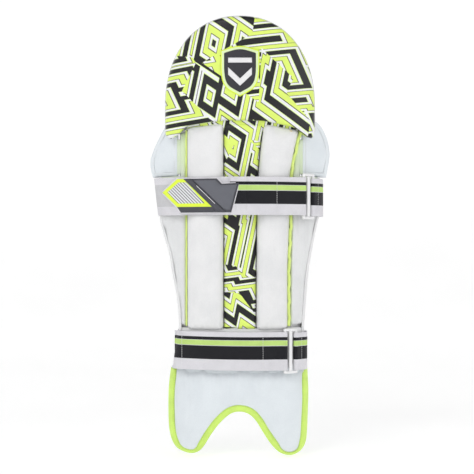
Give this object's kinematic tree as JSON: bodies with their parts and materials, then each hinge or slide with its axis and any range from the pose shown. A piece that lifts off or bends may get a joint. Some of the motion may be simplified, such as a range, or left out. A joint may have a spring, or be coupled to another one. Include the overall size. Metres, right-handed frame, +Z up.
{
  "type": "cricket leg pad",
  "caption": "Padded cricket batting leg guard with printed knee flap, cane bolsters, side wings, notched instep and two striped buckle straps.",
  "frame": {"origin": "on the axis of the leg that the pad is worn on, level with the lowest edge of the instep", "axes": "+Z up the shin, -Y out of the front of the pad, +X to the right of someone looking at the front"},
  "size_m": [0.295, 0.1308, 0.7],
  "materials": {
    "white_pu": "soft white PU with a fine grain",
    "print": "printed PU, lime, black and white",
    "pale_pu": "pale blue-grey PU",
    "lime_trim": "lime woven binding and piping",
    "white_trim": "white woven binding",
    "webbing": "striped woven elastic",
    "white_webbing": "white woven elastic",
    "hook_loop": "hook-and-loop tape",
    "badge_rubber": "moulded grey and lime rubber",
    "ring_plastic": "white moulded plastic",
    "lining": "pale woven lining",
    "foam": "polyethylene foam",
    "cane": "split cane"
  },
  "bodies": {
    "shin": {"ankle_panel_cover": "white_pu", "ankle_panel_foam": "foam", "centre_strip_cover": "print", "centre_strip_foam": "foam", "inner_bolster_foams": "foam", "inner_centre_bolster_cover": "lining", "inner_left_bolster_cover": "lining", "inner_right_bolster_cover": "lining", "knee_roll_foams": "foam", "knee_roll_lower_cover": "lining", "knee_roll_middle_cover": "lining", "knee_roll_upper_cover": "lining", "left_bolster_back_foam": "foam", "left_bolster_canes": "cane", "left_bolster_cover": "white_pu", "left_bolster_front_foam": "foam", "left_piping": "lime_trim", "left_side_panel_cover": "white_pu", "left_side_panel_foam": "foam", "lower_anchor_tab": "white_webbing", "lower_loop_patch": "hook_loop", "lower_ring": "ring_plastic", "lower_webbing": "webbing", "right_bolster_back_foam": "foam", "right_bolster_canes": "cane", "right_bolster_cover": "white_pu", "right_bolster_front_foam": "foam", "right_piping": "lime_trim", "right_side_panel_cover": "white_pu", "right_side_panel_foam": "foam", "shin_board_foam": "foam", "shin_edge_binding": "white_trim", "shin_lining": "lining", "upper_anchor_tab": "white_webbing", "upper_landing_band": "white_webbing"},
    "top_hat": {"top_hat_badge": "badge_rubber", "top_hat_cover": "print", "top_hat_foam": "foam", "top_hat_lining": "lining", "top_hat_rim": "white_trim"},
    "left_wing": {"left_wing_binding": "white_trim", "left_wing_face": "pale_pu", "left_wing_foam": "foam"},
    "right_wing": {"right_wing_binding": "white_trim", "right_wing_face": "pale_pu", "right_wing_foam": "foam"},
    "instep": {"instep_binding": "lime_trim", "instep_face": "pale_pu", "instep_foam": "foam", "instep_lining": "lining"},
    "upper_ring": {"upper_ring": "ring_plastic"},
    "upper_strap": {"upper_webbing": "webbing"},
    "upper_tab": {"upper_badge": "badge_rubber", "upper_hook_patch": "hook_loop", "upper_hook_tab": "webbing"},
    "lower_tab": {"lower_hook_tab": "webbing"}
  },
  "joints": [
    {"name": "top_hat_flex", "type": "hinge", "parent": "shin", "child": "top_hat", "pos_m": [0, -0.1085, 0.519], "axis": [1, 0, 0], "range_deg": [-8, 8], "stiffness_Nm_per_rad": 12},
    {"name": "left_wing_flex", "type": "hinge", "parent": "shin", "child": "left_wing", "pos_m": [-0.101, -0.039, 0.49], "axis": [0, 0, -1], "range_deg": [-4, 25], "stiffness_Nm_per_rad": 0.6},
    {"name": "right_wing_flex", "type": "hinge", "parent": "shin", "child": "right_wing", "pos_m": [0.101, -0.039, 0.49], "axis": [0, 0, 1], "range_deg": [-4, 25], "stiffness_Nm_per_rad": 0.6},
    {"name": "instep_flex", "type": "hinge", "parent": "shin", "child": "instep", "pos_m": [0, -0.074, 0.131], "axis": [-1, 0, 0], "range_deg": [0, 20], "stiffness_Nm_per_rad": 6},
    {"name": "upper_ring_pivot", "type": "hinge", "parent": "shin", "child": "upper_ring", "pos_m": [0.118, -0.06042, 0.4135], "axis": [0, 0, 1], "range_deg": [0, 40]},
    {"name": "upper_strap_swing", "type": "hinge", "parent": "upper_ring", "child": "upper_strap", "pos_m": [0.1025, -0.07501, 0.4135], "axis": [0, 0, 1], "range_deg": [0, 100]},
    {"name": "upper_tab_peel", "type": "hinge", "parent": "upper_strap", "child": "upper_tab", "pos_m": [0.0018, -0.1151, 0.4135], "axis": [0, 0, 1], "range_deg": [0, 60]},
    {"name": "lower_tab_peel", "type": "hinge", "parent": "shin", "child": "lower_tab", "pos_m": [-0.107, -0.0085, 0.164], "axis": [0, 0, 1], "range_deg": [0, 90]}
  ]
}
